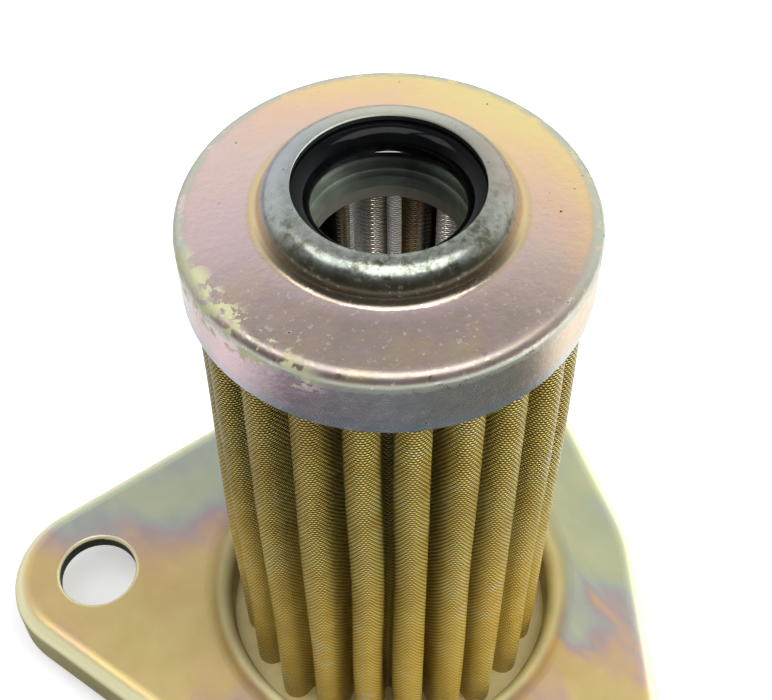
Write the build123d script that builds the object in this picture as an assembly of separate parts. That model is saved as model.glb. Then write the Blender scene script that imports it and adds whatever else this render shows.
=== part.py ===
from build123d import *
import math
import os

os.makedirs("parts", exist_ok=True)

# Overall sizes, mm. Z = 0 is the flat underside of the pan, and the cartridge stands on the Z axis.
plate_top = 12.3
cap_top = 88.2
plate_sheet = 2.2
cap_sheet = 0.8

# Mounting plate
bolt_circle_radius = 42.7
bolt_hole_radius = 5.5
bolt_hole_edge = 0.6
lobe_radius = 12.4
lone_lobe_angle = -90.0
pair_half_angle = 52.6
bend_radius = 24.5
bend_reach = 36.8
bend_angle = 63.4
rim_height = 7.5
rim_fold = 2.7
pan_wall_radius = 23.0
pan_mouth_fold = 4.0
pan_foot_fold = 1.6

# End cap and its neck
cap_radius = 22.2
cap_depth = 8.8
cap_fall = 0.7
cap_shoulder = 1.3
neck_wall_radius = 13.5
neck_crown_radius = 12.85
neck_height = 3.38
neck_foot_fold = 1.2
neck_straight = 0.05
lip_radius = 10.0

# O-ring, held between the lip and the collar
o_ring_section = 4.0
o_ring_bore_radius = 8.05
o_ring_rise = 0.35

# Collar under the O-ring
collar_sheet = 0.8
collar_flange_inset = 1.8
collar_step_radius = 13.4
collar_mouth_radius = 8.75
collar_tube_radius = 8.3
collar_shoulder_depth = 3.1
collar_depth = 5.4
collar_wide_fold = 1.0
collar_tight_fold = 0.3

# Pleated cloth
pleat_count = 21
first_crest_angle = 170.7
uneven_gaps = [19.5, 18.0, 17.0, 15.6, 16.5, 15.6, 18.4]
crest_clearance = 0.3
crest_fold = 1.95
valley_centre_radius = 14.75
valley_fold = 0.5
filter_thickness = 0.45
ply_clearance = 0.05
lining_thickness = 0.35
lower_pleat_end = 3.3
pleat_head_room = 4.0

# Resin
lower_resin_level = 5.0
resin_bulge = 0.4
resin_bulge_inset = 0.3
resin_bore_depth = 7.0
resin_slope_radius = 12.6

cap_slope = cap_fall / (cap_radius - neck_wall_radius)
cap_bore_radius = cap_radius - cap_sheet
collar_flange_radius = cap_bore_radius - collar_flange_inset
crest_reach = cap_bore_radius - crest_clearance
upper_pleat_end = cap_top - pleat_head_room
upper_resin_level = cap_top - cap_depth - resin_bulge


def polar(radius, degrees):
    angle = math.radians(degrees)
    return Vector(radius * math.cos(angle), radius * math.sin(angle))


def save(solid, node):
    solid.label = node
    export_step(solid, f"parts/{node}.step")
    print(node, round(solid.volume, 1), "mm3")


def shifted(points, distance):
    """The open line through the points, moved sideways to the left of its direction."""
    legs = []
    for start, end in zip(points[:-1], points[1:]):
        along = (Vector(*end) - Vector(*start)).normalized()
        left = Vector(-along.Y, along.X)
        legs.append((Vector(*start) + left * distance, along))
    moved = [legs[0][0]]
    for (first, along), (second, onward) in zip(legs[:-1], legs[1:]):
        cross = along.X * onward.Y - along.Y * onward.X
        gap = second - first
        reach = (gap.X * onward.Y - gap.Y * onward.X) / cross
        moved.append(first + along * reach)
    last = Vector(*points[-1]) - Vector(*points[-2])
    moved.append(legs[-1][0] + legs[-1][1] * last.length)
    return [(point.X, point.Y) for point in moved]


def other_side(points, folds, thickness):
    """The far side of a pressed sheet, to the left of the line through the points, with its folds."""
    other_folds = []
    for before, corner, after, fold in zip(points[:-2], points[1:-1], points[2:], folds):
        coming = Vector(*corner) - Vector(*before)
        going = Vector(*after) - Vector(*corner)
        turns_left = coming.cross(going).Z > 0
        other_folds.append(fold - thickness if turns_left else fold + thickness)
    return shifted(points, thickness), other_folds


def turned_sheet(points, folds, thickness):
    """A ring of pressed sheet. The points are (radius, height) along one side of it, with a fold
    radius at each inner point, and the thickness lies to the left of the line."""
    other_points, other_folds = other_side(points, folds, thickness)
    near = FilletPolyline(*points, radius=folds)
    far = FilletPolyline(*other_points, radius=other_folds)
    ends = Line(points[0], other_points[0]) + Line(points[-1], other_points[-1])
    section = make_face(near + far + ends)
    return revolve(Plane.XZ * section, Axis.Z)


def belt(rounds):
    """The outline drawn tight round circles, which are given anticlockwise as (centre, radius)."""
    touches = []
    for (centre, radius), (next_centre, next_radius) in zip(rounds, rounds[1:] + rounds[:1]):
        run = next_centre - centre
        lean = math.acos((radius - next_radius) / run.length)
        touches.append(math.degrees(math.atan2(run.Y, run.X) - lean))
    arcs = []
    for (centre, radius), start, end in zip(rounds, touches[-1:] + touches[:-1], touches):
        arcs.append(CenterArc(centre, radius, start, (end - start) % 360.0))
    sides = [Line(first @ 1, second @ 0) for first, second in zip(arcs, arcs[1:] + arcs[:1])]
    return make_face(arcs + sides)


def bolt_centres():
    angles = (lone_lobe_angle, 90.0 - pair_half_angle, 90.0 + pair_half_angle)
    return [polar(bolt_circle_radius, angle) for angle in angles]


def plate_outline():
    """Three bolt lobes. A straight side joins the pair, and the two sides that run to the lone lobe
    bend once on the way."""
    lone, right, left = bolt_centres()
    right_bend = polar(bend_reach - bend_radius, lone_lobe_angle + bend_angle)
    left_bend = polar(bend_reach - bend_radius, lone_lobe_angle - bend_angle)
    return belt([
        (lone, lobe_radius),
        (right_bend, bend_radius),
        (right, lobe_radius),
        (left, lobe_radius),
        (left_bend, bend_radius),
    ])


def upper_face_edges(solid):
    return solid.faces().sort_by(Axis.Z)[-1].edges()


def cover_plate():
    """The mounting plate: a flat flange with a turned-down rim and a pan pressed down in the middle."""
    outline = plate_outline()
    foot = Pos(0, 0, plate_top - rim_height)
    blank = extrude(foot * outline, rim_height)
    blank = fillet(upper_face_edges(blank), rim_fold)
    hollow = extrude(foot * offset(outline, -plate_sheet), rim_height - plate_sheet)
    hollow = fillet(upper_face_edges(hollow), rim_fold - plate_sheet)
    plate = blank - hollow
    for centre in bolt_centres():
        plate -= Pos(centre.X, centre.Y, plate_top) * Cylinder(bolt_hole_radius, 4 * plate_sheet)
    upper_face = plate.faces().sort_by(Axis.Z)[-1]
    plate = fillet([edge for wire in upper_face.inner_wires() for edge in wire.edges()], bolt_hole_edge)
    pan_reach = pan_wall_radius + 2 * pan_mouth_fold
    plate -= Pos(0, 0, plate_top) * Cylinder(pan_reach, 4 * plate_sheet)
    pan_points = [
        (pan_reach, plate_top),
        (pan_wall_radius, plate_top),
        (pan_wall_radius, plate_sheet),
        (0.0, plate_sheet),
    ]
    return plate + turned_sheet(pan_points, [pan_mouth_fold, pan_foot_fold], plate_sheet)


def cap_line():
    """The cap's outer side, from the lip's edge over the round neck and down the skirt, and its folds.
    The top falls a little from the neck to the shoulder. The neck's bulge takes all the height of its
    wall that the fold at its foot leaves."""
    points = [
        (lip_radius, cap_top + neck_height),
        (neck_crown_radius, cap_top + neck_height),
        (neck_wall_radius, cap_top),
        (cap_radius, cap_top - cap_fall),
        (cap_radius, cap_top - cap_depth),
    ]
    wall_spread = neck_wall_radius - neck_crown_radius
    crown_turn = math.atan2(neck_height, wall_spread)
    foot_turn = crown_turn - math.atan(cap_slope)
    wall_length = math.hypot(neck_height, wall_spread) - neck_straight
    bulge = (wall_length - neck_foot_fold * math.tan(foot_turn / 2)) / math.tan(crown_turn / 2)
    return points, [bulge, neck_foot_fold, cap_shoulder]


def under_top(radius):
    """The height of the underside of the cap's top at a radius."""
    return cap_top - cap_slope * (radius - neck_wall_radius) - cap_sheet * math.hypot(1.0, cap_slope)


def end_cap():
    points, folds = cap_line()
    return turned_sheet(points, folds, -cap_sheet)


def o_ring():
    section_radius = o_ring_section / 2
    return Pos(0, 0, cap_top + o_ring_rise) * Torus(o_ring_bore_radius + section_radius, section_radius)


def collar_line():
    """The collar's upper side, from its flange under the cap to the end of its tube, and its folds."""
    seat = cap_top + o_ring_rise - o_ring_section / 2
    flange_bend_radius = collar_step_radius + under_top(collar_step_radius) - seat
    tube_step = collar_mouth_radius - collar_tube_radius
    points = [
        (collar_flange_radius, under_top(collar_flange_radius)),
        (flange_bend_radius, under_top(flange_bend_radius)),
        (collar_step_radius, seat),
        (collar_mouth_radius, seat),
        (collar_mouth_radius, cap_top - collar_shoulder_depth),
        (collar_tube_radius, cap_top - collar_shoulder_depth - tube_step),
        (collar_tube_radius, cap_top - collar_depth),
    ]
    folds = [collar_wide_fold, collar_tight_fold, collar_wide_fold, collar_tight_fold, collar_wide_fold]
    return points, folds


def seal_collar():
    points, folds = collar_line()
    return turned_sheet(points, folds, collar_sheet)


def crest_angles():
    even_gap = (360.0 - sum(uneven_gaps)) / (pleat_count - len(uneven_gaps))
    gaps = uneven_gaps + [even_gap] * (pleat_count - len(uneven_gaps))
    angles = [first_crest_angle]
    for gap in gaps[:-1]:
        angles.append(angles[-1] + gap)
    return angles


def leg_side(start, end, rising):
    """The unit vector square to a pleat's flat leg, which touches a crest fold and a valley fold."""
    run = end - start
    lean = math.degrees(math.asin((crest_fold + valley_fold) / run.length))
    along = run.normalized().rotate(Axis.Z, -lean if rising else lean)
    return Vector(-along.Y, along.X)


def fold_outline(depth):
    """The face inside the folded cloth, measured the given depth below the outside of the cloth."""
    angles = crest_angles()
    angles = [angles[-1] - 360.0] + angles + [angles[0] + 360.0]
    crest_radius = crest_fold - depth
    valley_radius = valley_fold + depth
    crest_centre_radius = crest_reach - crest_fold
    edges = []
    for previous_angle, angle, next_angle in zip(angles[:-2], angles[1:-1], angles[2:]):
        valley_before = polar(valley_centre_radius, (previous_angle + angle) / 2)
        crest = polar(crest_centre_radius, angle)
        valley = polar(valley_centre_radius, (angle + next_angle) / 2)
        next_crest = polar(crest_centre_radius, next_angle)
        before_side = leg_side(valley_before, crest, rising=True)
        falling_side = leg_side(crest, valley, rising=False)
        rising_side = leg_side(valley, next_crest, rising=True)
        crest_start = crest - before_side * crest_radius
        crest_end = crest - falling_side * crest_radius
        valley_start = valley + falling_side * valley_radius
        valley_end = valley + rising_side * valley_radius
        next_start = next_crest - rising_side * crest_radius
        crest_tip = crest + crest.normalized() * crest_radius
        valley_tip = valley - valley.normalized() * valley_radius
        edges.append(ThreePointArc(crest_start, crest_tip, crest_end))
        edges.append(Line(crest_end, valley_start))
        edges.append(ThreePointArc(valley_start, valley_tip, valley_end))
        edges.append(Line(valley_end, next_start))
    return make_face(edges)


def folded_ply(outer_depth, thickness):
    """One folded sheet, whose outer side lies the given depth below the outside of the cloth."""
    ring = fold_outline(outer_depth) - fold_outline(outer_depth + thickness)
    return extrude(Pos(0, 0, lower_pleat_end) * ring, upper_pleat_end - lower_pleat_end)


def lower_potting(plies):
    """The resin in the pan, poured up to its level round the feet of the pleats."""
    points = [
        (0.0, plate_sheet),
        (pan_wall_radius, plate_sheet),
        (pan_wall_radius, lower_resin_level),
        (0.0, lower_resin_level),
    ]
    foot = FilletPolyline(*points[:3], radius=pan_foot_fold)
    section = make_face(foot + Line(points[2], points[3]) + Line(points[3], points[0]))
    return revolve(Plane.XZ * section, Axis.Z) - plies


def upper_potting(plies):
    """The resin in the cap. It fills the cap up to the collar, and a cone under the collar's tube
    opens into the cartridge."""
    collar_foot = cap_top - collar_depth
    under_collar, under_folds = other_side(*collar_line(), collar_sheet)
    points = [
        (cap_bore_radius - resin_bulge_inset, upper_resin_level),
        (cap_bore_radius, cap_top - cap_depth),
        (cap_bore_radius, under_top(cap_bore_radius)),
        (collar_flange_radius, under_top(collar_flange_radius)),
        *under_collar,
        (collar_tube_radius, collar_foot),
        (collar_tube_radius, cap_top - resin_bore_depth),
        (resin_slope_radius, upper_resin_level),
    ]
    outer_folds = [0.0, cap_shoulder - cap_sheet, 0.0, 0.0]
    side = FilletPolyline(*points, radius=outer_folds + under_folds + [0.0, 0.0, 0.0])
    section = make_face(side + Line(points[-1], points[0]))
    return revolve(Plane.XZ * section, Axis.Z) - plies


plies = folded_ply(0.0, filter_thickness + ply_clearance + lining_thickness)
save(cover_plate(), "cover_plate")
save(lower_potting(plies), "lower_potting")
save(folded_ply(0.0, filter_thickness), "filter_cloth")
save(folded_ply(filter_thickness + ply_clearance, lining_thickness), "lining_cloth")
save(upper_potting(plies), "upper_potting")
save(end_cap(), "end_cap")
save(seal_collar(), "seal_collar")
save(o_ring(), "o_ring")
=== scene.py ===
import math
import random

import bpy
from mathutils import Matrix, Vector


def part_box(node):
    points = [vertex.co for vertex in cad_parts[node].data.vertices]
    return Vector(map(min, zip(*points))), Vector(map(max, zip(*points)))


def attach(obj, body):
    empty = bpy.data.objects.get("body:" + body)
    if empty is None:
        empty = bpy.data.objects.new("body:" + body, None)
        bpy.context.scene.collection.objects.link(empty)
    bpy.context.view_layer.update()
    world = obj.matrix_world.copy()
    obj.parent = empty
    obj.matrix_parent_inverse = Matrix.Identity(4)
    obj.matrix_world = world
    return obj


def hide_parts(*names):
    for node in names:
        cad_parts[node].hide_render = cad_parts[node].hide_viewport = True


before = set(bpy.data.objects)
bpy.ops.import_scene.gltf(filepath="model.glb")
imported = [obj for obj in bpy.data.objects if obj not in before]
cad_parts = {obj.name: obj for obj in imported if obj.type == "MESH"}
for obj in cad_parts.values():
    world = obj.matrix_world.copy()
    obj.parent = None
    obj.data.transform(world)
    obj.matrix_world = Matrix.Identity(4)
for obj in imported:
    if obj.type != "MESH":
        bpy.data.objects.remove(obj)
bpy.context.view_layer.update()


# Mounting plate
# One pressing in 2 mm steel: a flat three-lobed flange with a turned-down rim and a round pan drawn
# in the middle. Zinc plated, then dipped in yellow chromate, which dries in gold, olive and blue clouds.
def tone(red, green, blue):
    """The linear colour of an everyday 0 to 255 one."""
    def linear(value):
        share = value / 255
        return share / 12.92 if share <= 0.04045 else ((share + 0.055) / 1.055) ** 2.4
    return (linear(red), linear(green), linear(blue), 1.0)


def add_node(tree, kind, inputs=None, **settings):
    """A new shader node. An input is a number or colour to set, or a socket to link."""
    node = tree.nodes.new(kind)
    for name, value in settings.items():
        setattr(node, name, value)
    for name, value in (inputs or {}).items():
        if isinstance(value, bpy.types.NodeSocket):
            tree.links.new(value, node.inputs[name])
        else:
            node.inputs[name].default_value = value
    return node


def maths(tree, operation, *values):
    return add_node(tree, "ShaderNodeMath", dict(enumerate(values)), operation=operation).outputs[0]


def plus(tree, first, second):
    return maths(tree, "ADD", first, second)


def times(tree, first, second):
    return maths(tree, "MULTIPLY", first, second)


def times_plus(tree, value, factor, added):
    return maths(tree, "MULTIPLY_ADD", value, factor, added)


def greater(tree, first, second):
    return maths(tree, "MAXIMUM", first, second)


def noise(tree, place, scale, detail=3.0, roughness=0.5, distortion=0.0):
    values = {
        "Vector": place,
        "Scale": scale,
        "Detail": detail,
        "Roughness": roughness,
        "Distortion": distortion,
    }
    return add_node(tree, "ShaderNodeTexNoise", values).outputs["Fac"]


def ramp(tree, value, stops):
    """The colour at a value between stops, each a (place, colour) pair."""
    node = add_node(tree, "ShaderNodeValToRGB", {"Fac": value})
    elements = node.color_ramp.elements
    while len(elements) < len(stops):
        elements.new(0.5)
    for element, (place, colour) in zip(elements, stops):
        element.position = place
        element.color = colour
    return node.outputs["Color"]


def spread(tree, value, start, end):
    """0 at the start value, 1 at the end value, and smooth between. Either may be the greater."""
    values = {"Value": value, "From Min": start, "From Max": end}
    return add_node(tree, "ShaderNodeMapRange", values, interpolation_type="SMOOTHSTEP").outputs["Result"]


def band(tree, value, start, inner_start, inner_end, end):
    """1 between the inner values and 0 outside the outer ones, smooth between."""
    return times(tree, spread(tree, value, start, inner_start), spread(tree, value, end, inner_end))


def blend_colours(tree, share, first, second, mode="MIX"):
    node = add_node(tree, "ShaderNodeMix", {}, data_type="RGBA", blend_type=mode)
    for socket, value in ((node.inputs[0], share), (node.inputs[6], first), (node.inputs[7], second)):
        if isinstance(value, bpy.types.NodeSocket):
            tree.links.new(value, socket)
        else:
            socket.default_value = value
    return node.outputs[2]


def new_finish(name):
    """A material with its shader, and the surface's own place in the object as a vector."""
    material = bpy.data.materials.new(name)
    material.use_nodes = True
    tree = material.node_tree
    shader = tree.nodes["Principled BSDF"]
    place = add_node(tree, "ShaderNodeTexCoord").outputs["Object"]
    return material, tree, shader, place


def bump(tree, shader, height, distance):
    node = add_node(tree, "ShaderNodeBump", {"Height": height, "Distance": distance})
    tree.links.new(node.outputs["Normal"], shader.inputs["Normal"])


def parts_of(tree, vector):
    return add_node(tree, "ShaderNodeSeparateXYZ", {"Vector": vector}).outputs


def upward_share(tree):
    """1 where the surface faces up, 0 where it is upright and less than 0 where it faces down."""
    return parts_of(tree, add_node(tree, "ShaderNodeNewGeometry").outputs["Normal"])["Z"]


def vector_maths(tree, operation, *values):
    return add_node(tree, "ShaderNodeVectorMath", dict(enumerate(values)), operation=operation).outputs


def reach_of(tree, place):
    """How far a place is from the cartridge's axis."""
    flat = vector_maths(tree, "MULTIPLY", place, (1.0, 1.0, 0.0))[0]
    return vector_maths(tree, "LENGTH", flat)["Value"]


def along(tree, place, direction):
    """How far a place lies along a direction."""
    return vector_maths(tree, "DOT_PRODUCT", place, direction)["Value"]


def near(tree, place, centre, inner, outer):
    """1 within the inner distance of a centre, 0 beyond the outer one, and smooth between."""
    return spread(tree, vector_maths(tree, "DISTANCE", place, centre)["Value"], outer, inner)


def stretched(tree, place, scale, turn=0.0):
    """The place scaled along each axis and turned about the Z axis, for streaks."""
    values = {"Vector": place, "Scale": scale, "Rotation": (0.0, 0.0, math.radians(turn))}
    return add_node(tree, "ShaderNodeMapping", values).outputs["Vector"]


plate_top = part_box("cover_plate")[1][2]
pan_wall_radius = 0.0240
pan_mouth_radius = 0.0262
pan_side_top = plate_top - 0.0007
pan_side_dark = plate_top - 0.0038
bolt_circle = 0.0427
bolt_radius = 0.0055
bolt_hole_middle = plate_top - 0.0014
bolt_turns = (-90.0, 37.4, 142.6)
edge_turns = (-26.3, 90.0, 206.3)
to_right = (0.803, -0.596, 0.0)

# The film, in clouds and streaks, thinner toward the edges and finely streaked along the right one
plate_finish, tree, shader, place = new_finish("gold_chromate_plate")
edge_reach = 0.0
for turn in edge_turns:
    square_to_edge = (math.cos(math.radians(turn)), math.sin(math.radians(turn)), 0.0)
    edge_reach = greater(tree, edge_reach, along(tree, place, square_to_edge))
clouds = noise(tree, place, 22.0, detail=2.0, distortion=0.8)
streaks = noise(tree, stretched(tree, place, (1.0, 0.35, 1.0), 26.3), 90.0, roughness=0.55, distortion=0.4)
film = plus(tree, times(tree, clouds, 0.72), times(tree, streaks, 0.28))
film = plus(tree, film, times_plus(tree, edge_reach, -3.0, 0.10))
film = plus(tree, film, along(tree, place, (-1.2, -1.4, 0.0)))
right_edge = spread(tree, along(tree, place, to_right), 0.012, 0.028)
fine_streaks = noise(tree, stretched(tree, place, (1.0, 0.3, 1.0)), 150.0, detail=2.0, distortion=0.6)
fine_streaks = times(tree, maths(tree, "SUBTRACT", fine_streaks, 0.5), 0.42)
film = plus(tree, film, times(tree, right_edge, fine_streaks))
thin_patch = near(tree, place, (0.030, -0.016, plate_top), 0.010, 0.022)
thick_patch = near(tree, place, (0.011, -0.031, plate_top), 0.004, 0.012)
film = plus(tree, film, times(tree, thin_patch, -0.085))
film = plus(tree, film, times(tree, thick_patch, 0.08))
film_colour = ramp(tree, film, [
    (0.30, tone(210, 214, 176)),
    (0.38, tone(196, 206, 172)),
    (0.44, tone(184, 200, 186)),
    (0.475, tone(176, 184, 192)),
    (0.50, tone(188, 166, 182)),
    (0.53, tone(218, 178, 160)),
    (0.57, tone(228, 194, 132)),
    (0.68, tone(222, 200, 128)),
    (0.82, tone(206, 198, 144)),
])

# A dull bloom on the film. The rim's fold is painted pale as a highlight, upright faces are olive,
# and the pan's inner wall and the bolt holes' walls are painted dark as shade
dulling = noise(tree, place, 190.0, detail=4.0, roughness=0.6)
dull_straw = tone(218, 210, 158)
painted_rim_highlight = tone(254, 249, 200)
olive_side = tone(186, 178, 126)
painted_pan_shade = tone(150, 142, 92)
painted_hole_shade = tone(72, 78, 70)
film_colour = blend_colours(tree, times(tree, dulling, 0.5), film_colour, dull_straw)
facing = upward_share(tree)
height = parts_of(tree, place)["Z"]
rim = spread(tree, facing, 0.99, 0.80)
side = spread(tree, facing, 0.45, 0.10)
in_pan = spread(tree, reach_of(tree, place), pan_mouth_radius, pan_wall_radius)
# The pan's inner wall is painted dark olive, as shade.
pan_side = times(tree, in_pan, spread(tree, height, pan_side_top, pan_side_dark))
# The rim's fold is painted pale, as a highlight.
colour = blend_colours(tree, rim, film_colour, painted_rim_highlight)
colour = blend_colours(tree, side, colour, olive_side)
colour = blend_colours(tree, pan_side, colour, painted_pan_shade)
# The bolt holes' walls are painted dark grey, as shade.
for turn in bolt_turns:
    angle = math.radians(turn)
    centre = (bolt_circle * math.cos(angle), bolt_circle * math.sin(angle), bolt_hole_middle)
    hole_wall = near(tree, place, centre, bolt_radius + 0.0003, bolt_radius + 0.0006)
    colour = blend_colours(tree, times(tree, hole_wall, side), colour, painted_hole_shade)
tree.links.new(colour, shader.inputs["Base Color"])
tree.links.new(times_plus(tree, rim, -0.5, 0.8), shader.inputs["Metallic"])
tree.links.new(times_plus(tree, dulling, 0.22, 0.26), shader.inputs["Roughness"])
grain = noise(tree, place, 900.0, detail=2.0)
bump(tree, shader, plus(tree, grain, times(tree, film, 4.0)), 0.00002)
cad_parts["cover_plate"].material_slots[0].material = plate_finish


# Potting resin
# Cream epoxy, mixed and poured: first into the pan round the feet of the pleats, and later into the
# upturned end cap. It sets hard with a slightly glossy skin. Inside the neck's bore it is painted grey, as
# shade.
cap_resin_low = 0.070
neck_bore_radius = 0.0120
painted_bore_shade = tone(104, 102, 90)
resin_finish, tree, shader, place = new_finish("cream_resin")
mottle = noise(tree, place, 260.0)
cream = ramp(tree, mottle, [(0.3, tone(232, 212, 144)), (0.7, tone(252, 238, 178))])
# Painted shade: the resin in the neck's bore is painted grey.
up_high = spread(tree, parts_of(tree, place)["Z"], cap_resin_low, cap_resin_low + 0.004)
in_bore = spread(tree, reach_of(tree, place), neck_bore_radius + 0.0015, neck_bore_radius)
resin_colour = blend_colours(tree, times(tree, up_high, in_bore), cream, painted_bore_shade)
tree.links.new(resin_colour, shader.inputs["Base Color"])
shader.inputs["Roughness"].default_value = 0.3
shader.inputs["Coat Weight"].default_value = 0.3
bump(tree, shader, noise(tree, place, 340.0, detail=2.0), 0.0002)
for node_name in ("lower_potting", "upper_potting"):
    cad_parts[node_name].material_slots[0].material = resin_finish


# Filter cloth
# Brass wire cloth in a plain weave, with thin upright warp wires and thicker level weft wires. It is
# folded by hand into uneven pleats and bent into a ring. The resin holds both ends, and the crests belly
# out a little between them.
millimetre = 0.001
pleat_count = 21
first_crest_turn = 170.7
uneven_gaps = [19.5, 18.0, 17.0, 15.6, 16.5, 15.6, 18.4]
crest_reach = 21.1
crest_fold = 1.95
valley_centre_radius = 14.75
valley_fold = 0.5
filter_thickness = 0.45
ply_clearance = 0.05
lining_thickness = 0.35
most_lean = 0.35
middle_belly = 0.30
uneven_belly = 0.10
cloth_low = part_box("filter_cloth")[0][2] / millimetre
cloth_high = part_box("filter_cloth")[1][2] / millimetre


def on_circle(radius, degrees):
    angle = math.radians(degrees)
    return Vector((radius * math.cos(angle), radius * math.sin(angle)))


def crest_turns():
    even_gap = (360.0 - sum(uneven_gaps)) / (pleat_count - len(uneven_gaps))
    gaps = uneven_gaps + [even_gap] * (pleat_count - len(uneven_gaps))
    turns = [first_crest_turn]
    for gap in gaps[:-1]:
        turns.append(turns[-1] + gap)
    return turns


def leg_side(start, end, rising):
    """The direction square to a pleat's flat leg, which touches a crest fold and a valley fold."""
    run = end - start
    lean = math.asin((crest_fold + valley_fold) / run.length)
    leg = run.normalized()
    leg.rotate(Matrix.Rotation(-lean if rising else lean, 2))
    return Vector((-leg.y, leg.x))


def arc_points(centre, radius, start_side, end_side, turn, steps):
    """Points on a fold, from one leg's touching point to the next leg's."""
    start = math.atan2(start_side.y, start_side.x)
    end = math.atan2(end_side.y, end_side.x)
    if turn > 0:
        while end < start:
            end += 2 * math.pi
    else:
        while end > start:
            end -= 2 * math.pi
    points = []
    for step in range(steps + 1):
        angle = start + (end - start) * step / steps
        points.append(centre + Vector((math.cos(angle), math.sin(angle))) * radius)
    return points


def fold_line(depth, crest_steps=12, valley_steps=6, leg_steps=4):
    """One closed line round the pleats, at a depth below the outside of the cloth, in mm."""
    turns = crest_turns()
    turns = [turns[-1] - 360.0] + turns + [turns[0] + 360.0]
    crest_centre_radius = crest_reach - crest_fold
    line = []
    for before, here, after in zip(turns[:-2], turns[1:-1], turns[2:]):
        valley_before = on_circle(valley_centre_radius, (before + here) / 2)
        crest = on_circle(crest_centre_radius, here)
        valley = on_circle(valley_centre_radius, (here + after) / 2)
        next_crest = on_circle(crest_centre_radius, after)
        rising_before = leg_side(valley_before, crest, True)
        falling = leg_side(crest, valley, False)
        rising = leg_side(valley, next_crest, True)
        crest_arc = arc_points(crest, crest_fold - depth, -rising_before, -falling, 1, crest_steps)
        valley_arc = arc_points(valley, valley_fold + depth, falling, rising, -1, valley_steps)
        next_start = next_crest - rising * (crest_fold - depth)
        line += crest_arc
        for step in range(1, leg_steps):
            line.append(crest_arc[-1].lerp(valley_arc[0], step / leg_steps))
        line += valley_arc
        for step in range(1, leg_steps):
            line.append(valley_arc[-1].lerp(next_start, step / leg_steps))
    return line


random.seed(31)
waves = []
for count in range(14):
    turns_round = random.randint(1, 9)
    turn_start = random.uniform(0, 6.28)
    climb = random.uniform(0.6, 3.2)
    climb_start = random.uniform(0, 6.28)
    waves.append((turns_round, turn_start, climb, climb_start))


def cloth_shift(angle, rise):
    """How far the cloth leans round and bellies out, in degrees and mm, at a share of its height."""
    held = math.sin(math.pi * min(max(rise, 0.0), 1.0))
    lean = 0.0
    belly = 0.0
    for number, (turns_round, turn_start, climb, climb_start) in enumerate(waves):
        value = math.sin(turns_round * angle + turn_start) * math.sin(climb * rise * math.pi + climb_start)
        if number % 2:
            lean += value
        else:
            belly += value
    return most_lean * lean * held, (middle_belly + uneven_belly * belly) * held ** 0.5


def cloth_corners(lines, rows):
    """The corners of a ply: each line, outside and inside, once for each row of its height."""
    corners = []
    for line in lines:
        for row in range(rows + 1):
            rise = row / rows
            height = cloth_low + (cloth_high - cloth_low) * rise
            for point in line:
                angle = math.atan2(point.y, point.x)
                lean, belly = cloth_shift(angle, rise)
                radius = point.length
                radius += belly * (radius - valley_centre_radius) / (crest_reach - valley_centre_radius)
                turned = angle + math.radians(lean)
                corners.append((
                    radius * math.cos(turned) * millimetre,
                    radius * math.sin(turned) * millimetre,
                    height * millimetre,
                ))
    return corners


def cloth_lengths(line, warp_pitch):
    """How far round the cloth each point of a line is, in mm. The cloth is drawn out by a hair, so that a
    whole number of pairs of warp wires goes round."""
    lengths = [0.0]
    for here, there in zip(line, line[1:] + line[:1]):
        lengths.append(lengths[-1] + (there - here).length)
    pair = 2 * warp_pitch / millimetre
    drawn = round(lengths[-1] / pair) * pair / lengths[-1]
    return [length * drawn for length in lengths]


def cloth_tube(name, outer_depth, thickness, warp_pitch, rows=64):
    """A closed folded sheet with a map that follows the cloth: along its folds, and up its height."""
    outside = fold_line(outer_depth)
    inside = fold_line(outer_depth + thickness)
    columns = len(outside)
    lengths = cloth_lengths(outside, warp_pitch)
    layer = (rows + 1) * columns
    faces = []
    spots = []
    for side in range(2):
        for row in range(rows):
            low = (cloth_low + (cloth_high - cloth_low) * row / rows) * millimetre
            high = (cloth_low + (cloth_high - cloth_low) * (row + 1) / rows) * millimetre
            for column in range(columns):
                after = (column + 1) % columns
                start = side * layer + row * columns
                corners = [start + column, start + after, start + columns + after, start + columns + column]
                left = lengths[column] * millimetre
                right = lengths[column + 1] * millimetre
                marks = [(left, low), (right, low), (right, high), (left, high)]
                if side:
                    corners.reverse()
                    marks.reverse()
                faces.append(corners)
                spots += marks
    for row in (0, rows):
        for column in range(columns):
            after = (column + 1) % columns
            outer = row * columns
            inner = layer + row * columns
            corners = [outer + column, inner + column, inner + after, outer + after]
            if row:
                corners.reverse()
            faces.append(corners)
            height = (cloth_low if row == 0 else cloth_high) * millimetre
            spots += [(lengths[column] * millimetre, height)] * 4
    mesh = bpy.data.meshes.new(name)
    mesh.from_pydata(cloth_corners((outside, inside), rows), [], faces)
    cloth_map = mesh.uv_layers.new(name="cloth")
    for loop, spot in enumerate(spots):
        cloth_map.data[loop].uv = spot
    mesh.shade_smooth()
    mesh.set_sharp_from_angle(angle=math.radians(60))
    piece = bpy.data.objects.new(name, mesh)
    bpy.context.scene.collection.objects.link(piece)
    return piece


def wire(tree, count, thickness):
    """The round back of a wire that lies along the middle of each whole count, and 0 beside it."""
    off = maths(tree, "SUBTRACT", maths(tree, "FRACT", count), 0.5)
    inside = maths(tree, "SUBTRACT", thickness * thickness / 4, times(tree, off, off))
    return maths(tree, "SQRT", greater(tree, inside, 0.0))


def alternate(tree, count):
    """1 and -1 by turns, one for each whole count."""
    return maths(tree, "COSINE", times(tree, maths(tree, "FLOOR", count), math.pi))


def swing(tree, count):
    """A wave that is 1 and -1 by turns at the middles of the counts."""
    return maths(tree, "SINE", times(tree, count, math.pi))


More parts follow.
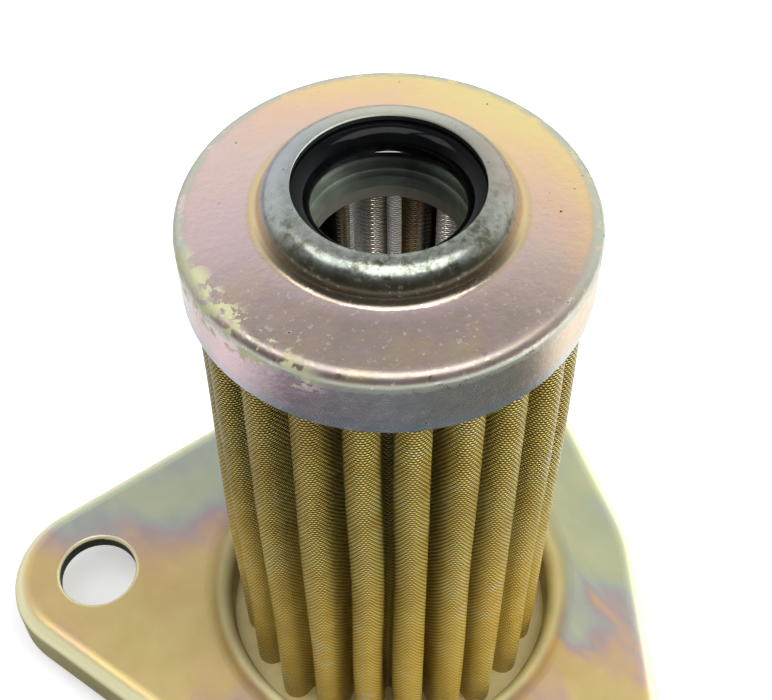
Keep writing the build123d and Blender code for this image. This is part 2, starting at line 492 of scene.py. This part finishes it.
def woven(tree, warp_pitch, weft_pitch, weft_thickness, warp_thickness, sway):
    """The height of a plain weave, in pitches, from the cloth's own map. Each level weft wire passes over
    one upright warp wire and under the next, and its neighbours do the opposite."""
    weft_lift = 0.17
    weft_level = 0.12
    warp_lift = -0.15
    warp_level = -0.14
    flat = add_node(tree, "ShaderNodeUVMap", uv_map="cloth").outputs["UV"]
    drift = times(tree, noise(tree, flat, 160.0, detail=2.0), sway)
    across = parts_of(tree, flat)
    column = plus(tree, maths(tree, "DIVIDE", across["X"], warp_pitch), times(tree, drift, 0.5))
    row = plus(tree, maths(tree, "DIVIDE", across["Y"], weft_pitch), drift)
    weft_wire = wire(tree, row, weft_thickness)
    warp_wire = wire(tree, column, warp_thickness)
    weft_rise = times(tree, times(tree, alternate(tree, row), swing(tree, column)), weft_lift)
    warp_rise = times(tree, times(tree, alternate(tree, column), swing(tree, row)), warp_lift)
    weft = plus(tree, weft_wire, plus(tree, weft_rise, weft_level))
    warp = plus(tree, warp_wire, plus(tree, warp_rise, warp_level))
    weft = times(tree, weft, maths(tree, "GREATER_THAN", weft_wire, 0.0))
    return greater(tree, greater(tree, weft, warp), 0.0)


cloth_warp_pitch = 0.000235
cloth_weft_pitch = 0.00042
# Heights over which the weave's gaps go from painted shade, near black, to painted gold light.
painted_shade_gaps_from = 0.060
painted_glow_gaps_below = 0.015
cloth_finish, tree, shader, place = new_finish("brass_wire_cloth")
weave = woven(tree, cloth_warp_pitch, cloth_weft_pitch, weft_thickness=0.6, warp_thickness=0.64, sway=1.5)
brass = ramp(tree, noise(tree, place, 150.0, roughness=0.6), [
    (0.30, tone(236, 200, 82)),
    (0.52, tone(255, 230, 108)),
    (0.72, tone(255, 246, 158)),
])
crest_top = crest_reach * millimetre
on_crest = spread(tree, reach_of(tree, place), crest_top - 0.0005, crest_top)
rubbed = times(tree, on_crest, spread(tree, noise(tree, place, 110.0), 0.62, 0.72))
brass = blend_colours(tree, rubbed, brass, tone(252, 244, 210))
# Painted shade and light: the gaps and the low sides of the wires are painted near black as shade, and lower
# down the gaps are painted gold, as light from the resin.
painted_glow_share = spread(tree, parts_of(tree, place)["Z"], painted_shade_gaps_from, painted_glow_gaps_below)
painted_gap_shade_and_glow = blend_colours(tree, painted_glow_share, tone(10, 7, 1), tone(176, 140, 50))
cloth_colour = blend_colours(tree, spread(tree, weave, 0.20, 0.44), painted_gap_shade_and_glow, brass)
tree.links.new(cloth_colour, shader.inputs["Base Color"])
shader.inputs["Metallic"].default_value = 0.3
shader.inputs["Roughness"].default_value = 0.2
bump(tree, shader, weave, 0.0005)
filter_cloth = cloth_tube("woven_filter_cloth", 0.0, filter_thickness, cloth_warp_pitch)
filter_cloth.data.materials.append(cloth_finish)
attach(filter_cloth, "root")
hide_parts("filter_cloth")


# Lining cloth
# A greyer wire cloth in a nearly square plain weave, folded together with the brass cloth and lying
# against its inner side. It is seen only down the neck. It is painted bright silver on one side and dark
# brown on the other, as light and shade, and the gaps of its weave are painted dark, as shade.
lining_warp_pitch = 0.00036
lining_weft_pitch = 0.00034
lining_depth = filter_thickness + ply_clearance
lining_finish, tree, shader, place = new_finish("fine_lining_cloth")
weave = woven(tree, lining_warp_pitch, lining_weft_pitch, weft_thickness=0.74, warp_thickness=0.6, sway=0.6)
# Painted light and shade: the lining runs from dark brown to bright silver across the neck.
painted_light_across_lining = noise(tree, stretched(tree, place, (1.0, 1.0, 0.05)), 170.0, detail=1.0)
painted_light_across_lining = plus(tree, painted_light_across_lining, along(tree, place, (8.0, -6.0, 0.0)))
lining_painted_light = ramp(tree, painted_light_across_lining, [
    (0.38, tone(34, 24, 10)),
    (0.46, tone(126, 98, 46)),
    (0.53, tone(236, 232, 220)),
    (0.60, tone(255, 254, 250)),
])
# The gaps of the lining's weave are painted dark, as shade.
lining_colour = blend_colours(tree, spread(tree, weave, 0.05, 0.4), tone(34, 28, 16), lining_painted_light)
tree.links.new(lining_colour, shader.inputs["Base Color"])
shader.inputs["Metallic"].default_value = 0.6
shader.inputs["Roughness"].default_value = 0.27
bump(tree, shader, weave, 0.0003)
lining_cloth = cloth_tube("woven_lining_cloth", lining_depth, lining_thickness, lining_warp_pitch)
lining_cloth.data.materials.append(lining_finish)
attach(lining_cloth, "root")
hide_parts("lining_cloth")


# Seal collar
# A stepped ring pressed in thin steel, dull grey. Its flange lies under the cap's top and
# carries the O-ring, and its tube guides the end of the suction pipe. Its grey is painted lighter toward
# either side and darker between, as light and shade down the neck.
collar_finish, tree, shader, place = new_finish("dull_grey_steel")
collar_grey = ramp(tree, noise(tree, place, 300.0), [
    (0.3, tone(150, 158, 148)),
    (0.7, tone(196, 206, 194)),
])
# Painted light and shade: the collar is lighter toward either side and darker between.
painted_light_and_tint = ramp(tree, times_plus(tree, along(tree, place, to_right), 50.0, 0.5), [
    (0.08, tone(230, 236, 226)),
    (0.35, tone(120, 126, 122)),
    (0.62, tone(100, 106, 104)),
    (0.92, tone(190, 198, 190)),
])
collar_colour = blend_colours(tree, 1.0, collar_grey, painted_light_and_tint, "MULTIPLY")
tree.links.new(collar_colour, shader.inputs["Base Color"])
shader.inputs["Metallic"].default_value = 0.7
shader.inputs["Roughness"].default_value = 0.45
bump(tree, shader, noise(tree, place, 1500.0, detail=2.0), 0.00003)
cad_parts["seal_collar"].material_slots[0].material = collar_finish


# O-ring
# Moulded black nitrile rubber, smooth and a little oily. It is held between the collar and the neck's
# turned-in lip.
rubber_finish, tree, shader, place = new_finish("black_nitrile")
black = ramp(tree, noise(tree, place, 400.0), [(0.3, tone(4, 5, 7)), (0.7, tone(10, 11, 13))])
tree.links.new(black, shader.inputs["Base Color"])
shader.inputs["Roughness"].default_value = 0.1
shader.inputs["Specular IOR Level"].default_value = 0.15
bump(tree, shader, noise(tree, place, 900.0, detail=2.0), 0.00001)
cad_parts["o_ring"].material_slots[0].material = rubber_finish


# End cap
# Drawn from thin steel, with a bulged neck whose edge is turned in over the O-ring. Zinc plated and
# passivated: the film runs from pink and mauve to pale yellow, and is worn on the shoulder.
to_front = (-0.596, -0.803, 0.0)
to_flaked_side = (-0.998, -0.07, 0.0)
to_yellow_side = (0.96, 0.29, 0.0)
cap_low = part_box("end_cap")[0][2]
lip_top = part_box("end_cap")[1][2]
lip_radius = 0.0102
neck_radius = 0.0129
foot_radius = 0.0142
shoulder_radius = 0.0203
skirt_radius = 0.0214
shoulder_low = 0.0852
flake_radius = 0.0204
flake_low = 0.0840

cap_finish, tree, shader, place = new_finish("passivated_zinc_cap")
height = parts_of(tree, place)["Z"]
reach = reach_of(tree, place)
rightward = along(tree, place, to_right)
frontward = along(tree, place, to_front)
facing = upward_share(tree)
clouds = noise(tree, place, 75.0, detail=4.0, roughness=0.6, distortion=0.4)
speckle = noise(tree, place, 520.0, detail=4.0, roughness=0.65)
fine = noise(tree, place, 1100.0, detail=4.0, roughness=0.7)
mottle = plus(tree, times(tree, speckle, 0.55), times(tree, fine, 0.45))

# The top's film, from pink to pale yellow across the cap
tint = times_plus(tree, along(tree, place, to_yellow_side), 16.0, 0.5)
tint = plus(tree, tint, times_plus(tree, clouds, 0.5, -0.25))
tint = plus(tree, tint, times_plus(tree, reach, 12.0, -0.21))
colour = ramp(tree, tint, [
    (0.15, tone(222, 204, 208)),
    (0.34, tone(226, 200, 200)),
    (0.50, tone(226, 202, 192)),
    (0.62, tone(236, 202, 176)),
    (0.74, tone(242, 212, 160)),
    (0.90, tone(238, 224, 156)),
])

# The skirt's film, pale blue along its lower edge
skirt = times(tree, spread(tree, facing, 0.5, 0.2), spread(tree, reach, skirt_radius - 0.0006, skirt_radius))
round_skirt = times_plus(tree, rightward, 20.0, 0.5)
round_skirt = plus(tree, round_skirt, times_plus(tree, clouds, 0.3, -0.15))
skirt_colour = ramp(tree, round_skirt, [
    (0.06, tone(228, 220, 216)),
    (0.20, tone(242, 210, 214)),
    (0.36, tone(216, 198, 212)),
    (0.50, tone(196, 200, 208)),
    (0.68, tone(192, 194, 188)),
    (0.84, tone(216, 194, 168)),
    (0.95, tone(204, 184, 144)),
])
low_edge = times(tree, spread(tree, height, cap_low + 0.0022, cap_low + 0.0006), 0.55)
skirt_colour = blend_colours(tree, low_edge, skirt_colour, tone(178, 204, 216))
colour = blend_colours(tree, skirt, colour, skirt_colour)

# The foot of the neck, gold behind, and painted pinkish white in front as a highlight
front = spread(tree, frontward, 0.004, 0.016)
foot = band(tree, reach, neck_radius, 0.0134, foot_radius, 0.0149)
foot_gold_and_painted_highlight = blend_colours(tree, front, tone(212, 192, 132), tone(244, 222, 214))
colour = blend_colours(tree, times(tree, foot, 0.75), colour, foot_gold_and_painted_highlight)

# The neck, bare grey zinc, mottled, and with a dark band at its side in front that is a painted reflection
neck_grey = ramp(tree, mottle, [
    (0.40, tone(104, 106, 86)),
    (0.49, tone(156, 163, 152)),
    (0.60, tone(176, 184, 178)),
])
neck_tint = ramp(tree, times_plus(tree, rightward, 38.0, 0.5), [
    (0.05, tone(176, 182, 190)),
    (0.40, tone(160, 168, 160)),
    (0.75, tone(164, 166, 156)),
    (0.95, tone(180, 168, 154)),
])
neck_back = spread(tree, frontward, -0.005, -0.012)
neck_tint = blend_colours(tree, neck_back, neck_tint, tone(204, 203, 188))
mottled_share = plus(tree, times(tree, spread(tree, frontward, -0.004, 0.008), 0.8), 0.12)
neck_colour = blend_colours(tree, mottled_share, neck_tint, neck_grey)
colour = blend_colours(tree, spread(tree, reach, 0.0135, neck_radius), colour, neck_colour)
# The band is painted dark, as a reflection.
painted_dark_reflection = band(tree, reach, 0.0122, 0.0130, 0.0138, foot_radius)
painted_dark_reflection = times(tree, times(tree, painted_dark_reflection, spread(tree, frontward, 0.002, 0.009)), 0.85)
colour = blend_colours(tree, painted_dark_reflection, colour, tone(104, 98, 74))

# The lip's inner face, painted dark as shade, under a pale edge that is a painted highlight
lip_face = times(tree, spread(tree, facing, 0.6, 0.3), spread(tree, reach, lip_radius + 0.0002, lip_radius))
painted_lip_highlight = spread(tree, height, lip_top - 0.0003, lip_top - 0.0002)
painted_lip_shade_and_highlight = blend_colours(tree, painted_lip_highlight, tone(40, 42, 38), tone(236, 240, 222))
colour = blend_colours(tree, lip_face, colour, painted_lip_shade_and_highlight)

# The worn shoulder, the top's front darkened with tarnish and painted shade, pale specks in front, small
# pits, and matt flakes of dried film
shoulder = spread(tree, reach, shoulder_radius, skirt_radius)
shoulder = times(tree, shoulder, spread(tree, height, shoulder_low, shoulder_low + 0.001))
worn = times(tree, shoulder, spread(tree, mottle, 0.38, 0.47))
colour = blend_colours(tree, worn, colour, tone(196, 202, 186))
# The top's front is painted darker, partly as shade and partly as tarnish.
painted_light_and_tint = ramp(tree, clouds, [
    (0.38, tone(176, 172, 150)),
    (0.50, tone(196, 176, 170)),
    (0.62, tone(204, 186, 156)),
])
front_shade_and_tarnish = times(tree, front, spread(tree, reach, foot_radius, 0.0160))
front_shade_and_tarnish = times(tree, front_shade_and_tarnish, maths(tree, "SUBTRACT", 0.9, times(tree, skirt, 0.9)))
colour = blend_colours(tree, front_shade_and_tarnish, colour, painted_light_and_tint)
pale_specks = spread(tree, noise(tree, place, 1500.0, roughness=0.6), 0.60, 0.68)
colour = blend_colours(tree, times(tree, times(tree, front, pale_specks), 0.6), colour, tone(244, 238, 218))
pits = spread(tree, noise(tree, place, 1500.0, detail=2.0), 0.745, 0.765)
colour = blend_colours(tree, pits, colour, tone(96, 88, 78))
flakes = spread(tree, along(tree, place, to_flaked_side), flake_radius - 0.0024, flake_radius)
flakes = times(tree, flakes, spread(tree, reach, flake_radius - 0.0016, flake_radius))
flakes = times(tree, flakes, spread(tree, speckle, 0.50, 0.53))
flakes = times(tree, flakes, spread(tree, height, flake_low, flake_low + 0.001))
colour = blend_colours(tree, flakes, colour, tone(196, 198, 156))
tree.links.new(colour, shader.inputs["Base Color"])

# Flakes and the lip's face are matt, and wear is a little rougher
matt = greater(tree, flakes, lip_face)
tree.links.new(times_plus(tree, matt, -0.8, 0.96), shader.inputs["Metallic"])
roughness = plus(tree, times(tree, worn, 0.16), times(tree, flakes, 0.3))
roughness = plus(tree, roughness, times_plus(tree, speckle, 0.2, 0.14))
tree.links.new(roughness, shader.inputs["Roughness"])
uneven = plus(tree, times(tree, speckle, 2.0), noise(tree, place, 1400.0, detail=2.0))
bump(tree, shader, uneven, 0.000016)
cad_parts["end_cap"].material_slots[0].material = cap_finish


# Studio
# A white floor, two overhead soft boxes, two cards that light the front and the right without showing as
# reflections, and a room that is pale behind the strainer and dark in front of it. The camera stands where
# the photograph was taken from.
def grey(level):
    return (level, level, level, 1.0)


floor_reach = 1.5
floor_mesh = bpy.data.meshes.new("studio_floor")
floor_corners = [
    (-floor_reach, -floor_reach, 0),
    (floor_reach, -floor_reach, 0),
    (floor_reach, floor_reach, 0),
    (-floor_reach, floor_reach, 0),
]
floor_mesh.from_pydata(floor_corners, [], [(0, 1, 2, 3)])
floor = bpy.data.objects.new("studio_floor", floor_mesh)
bpy.context.scene.collection.objects.link(floor)
floor_finish, tree, shader, place = new_finish("white_floor")
paths = add_node(tree, "ShaderNodeLightPath").outputs
# Painted shadows: two patches of the floor are dark, seen only in reflections.
painted_shadow_front = near(tree, place, (0.0, -0.080, 0.0), 0.048, 0.090)
painted_shadow_left = near(tree, place, (-0.042, -0.03, 0.0), 0.042, 0.088)
painted_shadow_in_reflections = times(tree, greater(tree, painted_shadow_front, painted_shadow_left), paths["Is Glossy Ray"])
floor_colour = blend_colours(tree, painted_shadow_in_reflections, grey(0.85), grey(0.10))
tree.links.new(floor_colour, shader.inputs["Base Color"])
shader.inputs["Roughness"].default_value = 0.9
shader.inputs["Specular IOR Level"].default_value = 0.0
shader.inputs["Emission Color"].default_value = grey(1.0)
glow = times_plus(tree, near(tree, place, (0.0, 0.0, 0.0), 0.15, 0.9), -0.55, 1.0)
tree.links.new(times(tree, paths["Is Camera Ray"], glow), shader.inputs["Emission Strength"])
floor_mesh.materials.append(floor_finish)

world = bpy.data.worlds.new("studio")
bpy.context.scene.world = world
world.use_nodes = True
tree = world.node_tree
direction = add_node(tree, "ShaderNodeTexCoord").outputs["Generated"]
mirrored_room = ramp(tree, parts_of(tree, direction)["Z"], [
    (0.0, grey(1.0)),
    (0.60, grey(1.0)),
    (0.74, grey(0.75)),
    (0.86, grey(0.42)),
    (1.0, grey(0.35)),
])
in_front = spread(tree, along(tree, direction, to_front), -0.45, 0.45)
mirrored_room = blend_colours(tree, in_front, mirrored_room, grey(0.12))
paths = add_node(tree, "ShaderNodeLightPath").outputs
mirrored = greater(tree, paths["Is Glossy Ray"], paths["Is Transmission Ray"])
room_light = blend_colours(tree, mirrored, (0.33, 0.33, 0.34, 1.0), mirrored_room)
room_light = blend_colours(tree, paths["Is Camera Ray"], room_light, grey(1.0))
tree.links.new(room_light, tree.nodes["Background"].inputs["Color"])


def add_lamp(name, kind, place, watts, lean=0.0, turn=-36.6, **settings):
    """A lamp that shines straight down, or leans up from there toward the way it is turned."""
    lamp = bpy.data.lights.new(name, kind)
    lamp.energy = watts
    for setting, value in settings.items():
        setattr(lamp, setting, value)
    holder = bpy.data.objects.new(name, lamp)
    holder.location = place
    holder.rotation_euler = (math.radians(lean), 0.0, math.radians(turn))
    bpy.context.scene.collection.objects.link(holder)
    return holder


add_lamp("main_box", "AREA", (-0.002, -0.187, 0.64), 2.0, shape="RECTANGLE", size=0.55, size_y=0.36)
add_lamp("left_box", "AREA", (-0.31, 0.18, 0.64), 0.65, shape="RECTANGLE", size=0.28, size_y=0.30)
front_card = add_lamp("front_card", "AREA", (0.24, -0.33, 0.31), 2.5, 57.0, 36.0, shape="SQUARE", size=0.3)
front_card.visible_glossy = False
right_card = add_lamp("right_card", "AREA", (0.36, 0.06, 0.20), 0.3, 62.0, 99.5, shape="SQUARE", size=0.25)
right_card.visible_glossy = False
inner_lamp = add_lamp("light_through_the_cloth", "POINT", (0.0, 0.0, 0.052), 0.009, shadow_soft_size=0.004)
inner_lamp.visible_camera = False

camera_place = Vector((-0.05806, -0.07817, 0.18612))
camera_aim = Vector((-0.00028, 0.0002, 0.0645))
camera_roll = math.radians(-0.24)
camera_data = bpy.data.cameras.new("photo_camera")
camera_data.lens = 62.76
camera_data.sensor_width = 36.0
camera_data.clip_start = 0.01
camera = bpy.data.objects.new("photo_camera", camera_data)
aimed = (camera_aim - camera_place).to_track_quat("-Z", "Y").to_matrix().to_4x4()
camera.matrix_world = Matrix.Translation(camera_place) @ aimed @ Matrix.Rotation(camera_roll, 4, "Z")
bpy.context.scene.collection.objects.link(camera)
bpy.context.scene.camera = camera
bpy.context.scene.view_settings.view_transform = "Standard"
